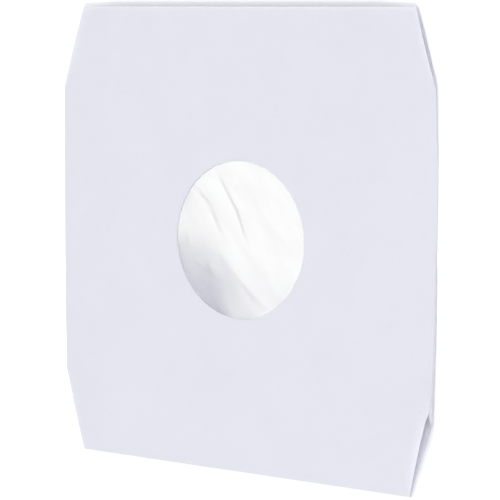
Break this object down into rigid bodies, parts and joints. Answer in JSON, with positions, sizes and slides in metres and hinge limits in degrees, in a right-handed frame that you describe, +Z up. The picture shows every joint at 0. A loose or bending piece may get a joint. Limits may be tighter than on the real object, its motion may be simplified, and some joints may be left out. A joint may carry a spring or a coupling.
{
  "type": "record sleeve",
  "caption": "White paper inner sleeve for a 12-inch record, with a round window, cut corners and a translucent film liner, open at one end.",
  "frame": {"origin": "middle of the sleeve's outline, on the surface that it lies on", "axes": "+Y from the bottom fold towards the open mouth, +X towards the right-hand side fold, +Z up from the back panel through the front panel"},
  "size_m": [0.305, 0.31, 0.0099],
  "materials": {
    "paper": "matte, smooth, slightly bluish white",
    "film": "thin milky film, soft gloss"
  },
  "bodies": {
    "root": {"paper_sleeve": "paper", "film_liner": "film"}
  },
  "joints": []
}
